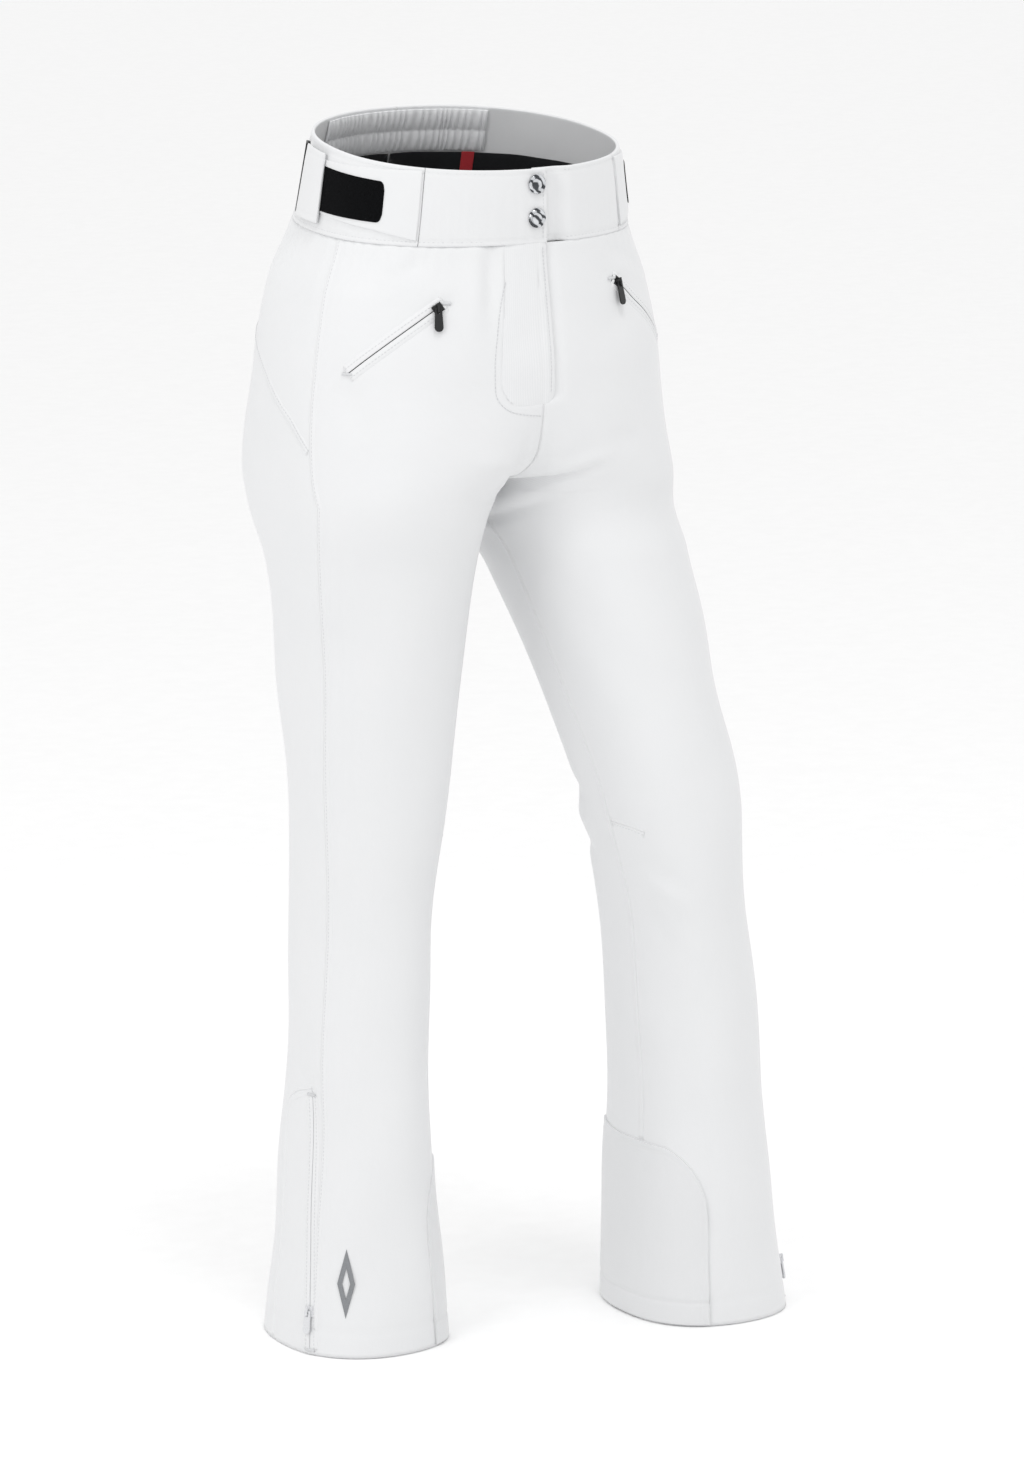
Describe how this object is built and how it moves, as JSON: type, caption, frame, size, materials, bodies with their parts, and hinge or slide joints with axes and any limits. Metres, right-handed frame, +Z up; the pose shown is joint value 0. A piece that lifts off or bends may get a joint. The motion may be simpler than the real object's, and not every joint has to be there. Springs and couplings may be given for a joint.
{
  "type": "ski pants",
  "caption": "Insulated flared ski pants posed mid-step, with a snapped and zipped fly, slant zip pockets, waist adjusters, boot zips and inner gaiters.",
  "frame": {"origin": "centre of the waist opening at the height of the waist seam, where the wearer's waist holds the garment", "axes": "+Z up the garment, -Y to the front, -X to the wearer's right"},
  "size_m": [0.476, 0.3358, 1.0804],
  "materials": {
    "shell": "matt white weatherproof face cloth with a light quilted loft",
    "lining": "black smooth woven lining",
    "elastic": "white gathered cloth over elastic",
    "loop": "black fuzzy loop tape",
    "chrome": "polished metal",
    "zip": "black moulded plastic and coil",
    "label": "red woven label, plain",
    "pocket": "pale pocketing",
    "guard": "white coated abrasion cloth",
    "print": "grey bonded print"
  },
  "bodies": {
    "root": {"waistband_front_right": "shell", "waistband_front_left": "shell", "waistband_back_right": "shell", "waistband_back_left": "shell", "waistband_elastic": "elastic", "size_label": "label", "fly_facing": "lining", "fly_zip": "zip", "snap_stud_upper": "chrome", "snap_stud_lower": "chrome", "lining_right": "lining", "body_front_right": "shell", "body_back_right": "shell", "knee_section_right": "shell", "pocket_bag_right": "pocket", "pocket_zip_right": "zip", "adjuster_strap_right": "shell", "adjuster_patch_right": "loop", "adjuster_ring_right": "zip", "lining_left": "lining", "body_front_left": "shell", "body_back_left": "shell", "knee_section_left": "shell", "pocket_bag_left": "pocket", "pocket_zip_left": "zip", "adjuster_strap_left": "shell", "adjuster_patch_left": "loop", "adjuster_ring_left": "zip"},
    "placket": {"waist_tab": "shell", "fly_flap": "shell", "snap_cap_upper": "chrome", "snap_cap_lower": "chrome", "snap_socket_upper": "chrome", "snap_socket_lower": "chrome"},
    "fly_slider": {"fly_slider": "zip", "fly_puller": "zip"},
    "pocket_slider_right": {"pocket_slider_right": "zip"},
    "pocket_puller_right": {"pocket_puller_right": "zip"},
    "adjuster_tab_right": {"adjuster_tab_right": "shell"},
    "shin_right": {"shin_front_right": "shell", "shin_back_right": "shell", "hem_zip_right": "zip", "scuff_guard_right": "guard", "gaiter_right": "elastic", "gaiter_elastic_right": "lining", "hem_mark": "print"},
    "hem_slider_right": {"hem_slider_right": "zip"},
    "hem_puller_right": {"hem_puller_right": "zip"},
    "pocket_slider_left": {"pocket_slider_left": "zip"},
    "pocket_puller_left": {"pocket_puller_left": "zip"},
    "adjuster_tab_left": {"adjuster_tab_left": "shell"},
    "shin_left": {"shin_front_left": "shell", "shin_back_left": "shell", "hem_zip_left": "zip", "scuff_guard_left": "guard", "gaiter_left": "elastic", "gaiter_elastic_left": "lining"},
    "hem_slider_left": {"hem_slider_left": "zip"},
    "hem_puller_left": {"hem_puller_left": "zip"}
  },
  "joints": [
    {"name": "placket_swing", "type": "hinge", "parent": "root", "child": "placket", "pos_m": [-0.02375, -0.10827, 0.05698], "axis": [-0.1087, -0.0645, -0.992], "range_deg": [0, 100]},
    {"name": "fly_slider_slide", "type": "slide", "parent": "root", "child": "fly_slider", "axis": [-0.0021, -0.1185, -0.993], "range_m": [0, 0.072]},
    {"name": "pocket_slider_right_slide", "type": "hinge", "parent": "root", "child": "pocket_slider_right", "pos_m": [-0.02324, 0.12147, -0.07612], "axis": [0.5119, -0.2323, -0.827], "range_deg": [0, 19.46]},
    {"name": "pocket_puller_right_swing", "type": "hinge", "parent": "pocket_slider_right", "child": "pocket_puller_right", "pos_m": [-0.09438, -0.10178, -0.05672], "axis": [-0.923, 0.3847, 0], "range_deg": [0, 165]},
    {"name": "adjuster_tab_right_peel", "type": "hinge", "parent": "root", "child": "adjuster_tab_right", "pos_m": [-0.13702, 0.04897, 0.04247], "axis": [-0.1231, 0.1358, -0.9831], "range_deg": [0, 150]},
    {"name": "knee_right_bend", "type": "hinge", "parent": "root", "child": "shin_right", "pos_m": [-0.09356, 0.02154, -0.53], "axis": [1, 0, 0], "range_deg": [0, 75], "deforming": ["knee_section_right"]},
    {"name": "hem_slider_right_slide", "type": "slide", "parent": "shin_right", "child": "hem_slider_right", "axis": [0.0745, 0.0959, 0.9926], "range_m": [0, 0.1756]},
    {"name": "hem_puller_right_swing", "type": "hinge", "parent": "hem_slider_right", "child": "hem_puller_right", "pos_m": [-0.16665, 0.00252, -0.95155], "axis": [-0.2743, 0.9617, 0], "range_deg": [0, 165]},
    {"name": "pocket_slider_left_slide", "type": "hinge", "parent": "root", "child": "pocket_slider_left", "pos_m": [0.02391, 0.14533, -0.05626], "axis": [0.5373, 0.1728, 0.8255], "range_deg": [0, 17.67]},
    {"name": "pocket_puller_left_swing", "type": "hinge", "parent": "pocket_slider_left", "child": "pocket_puller_left", "pos_m": [0.09074, -0.10123, -0.0471], "axis": [-0.927, -0.3752, 0], "range_deg": [0, 165]},
    {"name": "adjuster_tab_left_peel", "type": "hinge", "parent": "root", "child": "adjuster_tab_left", "pos_m": [0.13702, 0.04897, 0.04247], "axis": [-0.1231, -0.1358, 0.9831], "range_deg": [0, 150]},
    {"name": "knee_left_bend", "type": "hinge", "parent": "root", "child": "shin_left", "pos_m": [0.15956, -0.06858, -0.53], "axis": [1, 0, 0], "range_deg": [0, 75], "deforming": ["knee_section_left"]},
    {"name": "hem_slider_left_slide", "type": "slide", "parent": "shin_left", "child": "hem_slider_left", "axis": [-0.1544, 0.0277, 0.9876], "range_m": [0, 0.1765]},
    {"name": "hem_puller_left_swing", "type": "hinge", "parent": "hem_slider_left", "child": "hem_puller_left", "pos_m": [0.28359, -0.08012, -0.95133], "axis": [-0.2743, -0.9616, 0], "range_deg": [0, 165]}
  ]
}
